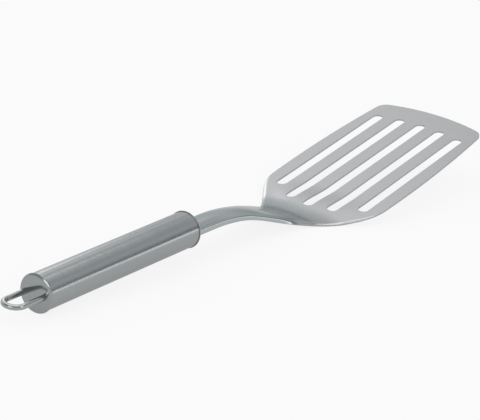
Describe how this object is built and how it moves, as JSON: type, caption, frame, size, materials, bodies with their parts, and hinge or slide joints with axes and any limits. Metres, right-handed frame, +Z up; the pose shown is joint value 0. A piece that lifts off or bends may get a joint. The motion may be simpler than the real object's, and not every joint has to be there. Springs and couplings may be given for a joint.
{
  "type": "fish spatula",
  "caption": "Slotted stainless fish spatula: one-piece stamped blade and channel neck in a round hollow handle with end caps and a wire hanging loop.",
  "frame": {"origin": "bottom centre of the bounding box, with the spatula lying on a table on the heel of its neck and on the rim of its rear cap", "axes": "+X along the spatula towards the blade's front edge, +Y to its left, +Z up; the blade is raised at the front by about 12 degrees"},
  "size_m": [0.4086, 0.0804, 0.0331],
  "materials": {
    "blade_steel": "fine satin, with polished edges",
    "tube_steel": "brushed round the tube",
    "cap_steel": "polished",
    "wire_steel": "polished"
  },
  "bodies": {
    "root": {"blade": "blade_steel", "handle_tube": "tube_steel", "front_cap": "cap_steel", "rear_cap": "cap_steel", "hanging_loop": "wire_steel"}
  },
  "joints": []
}
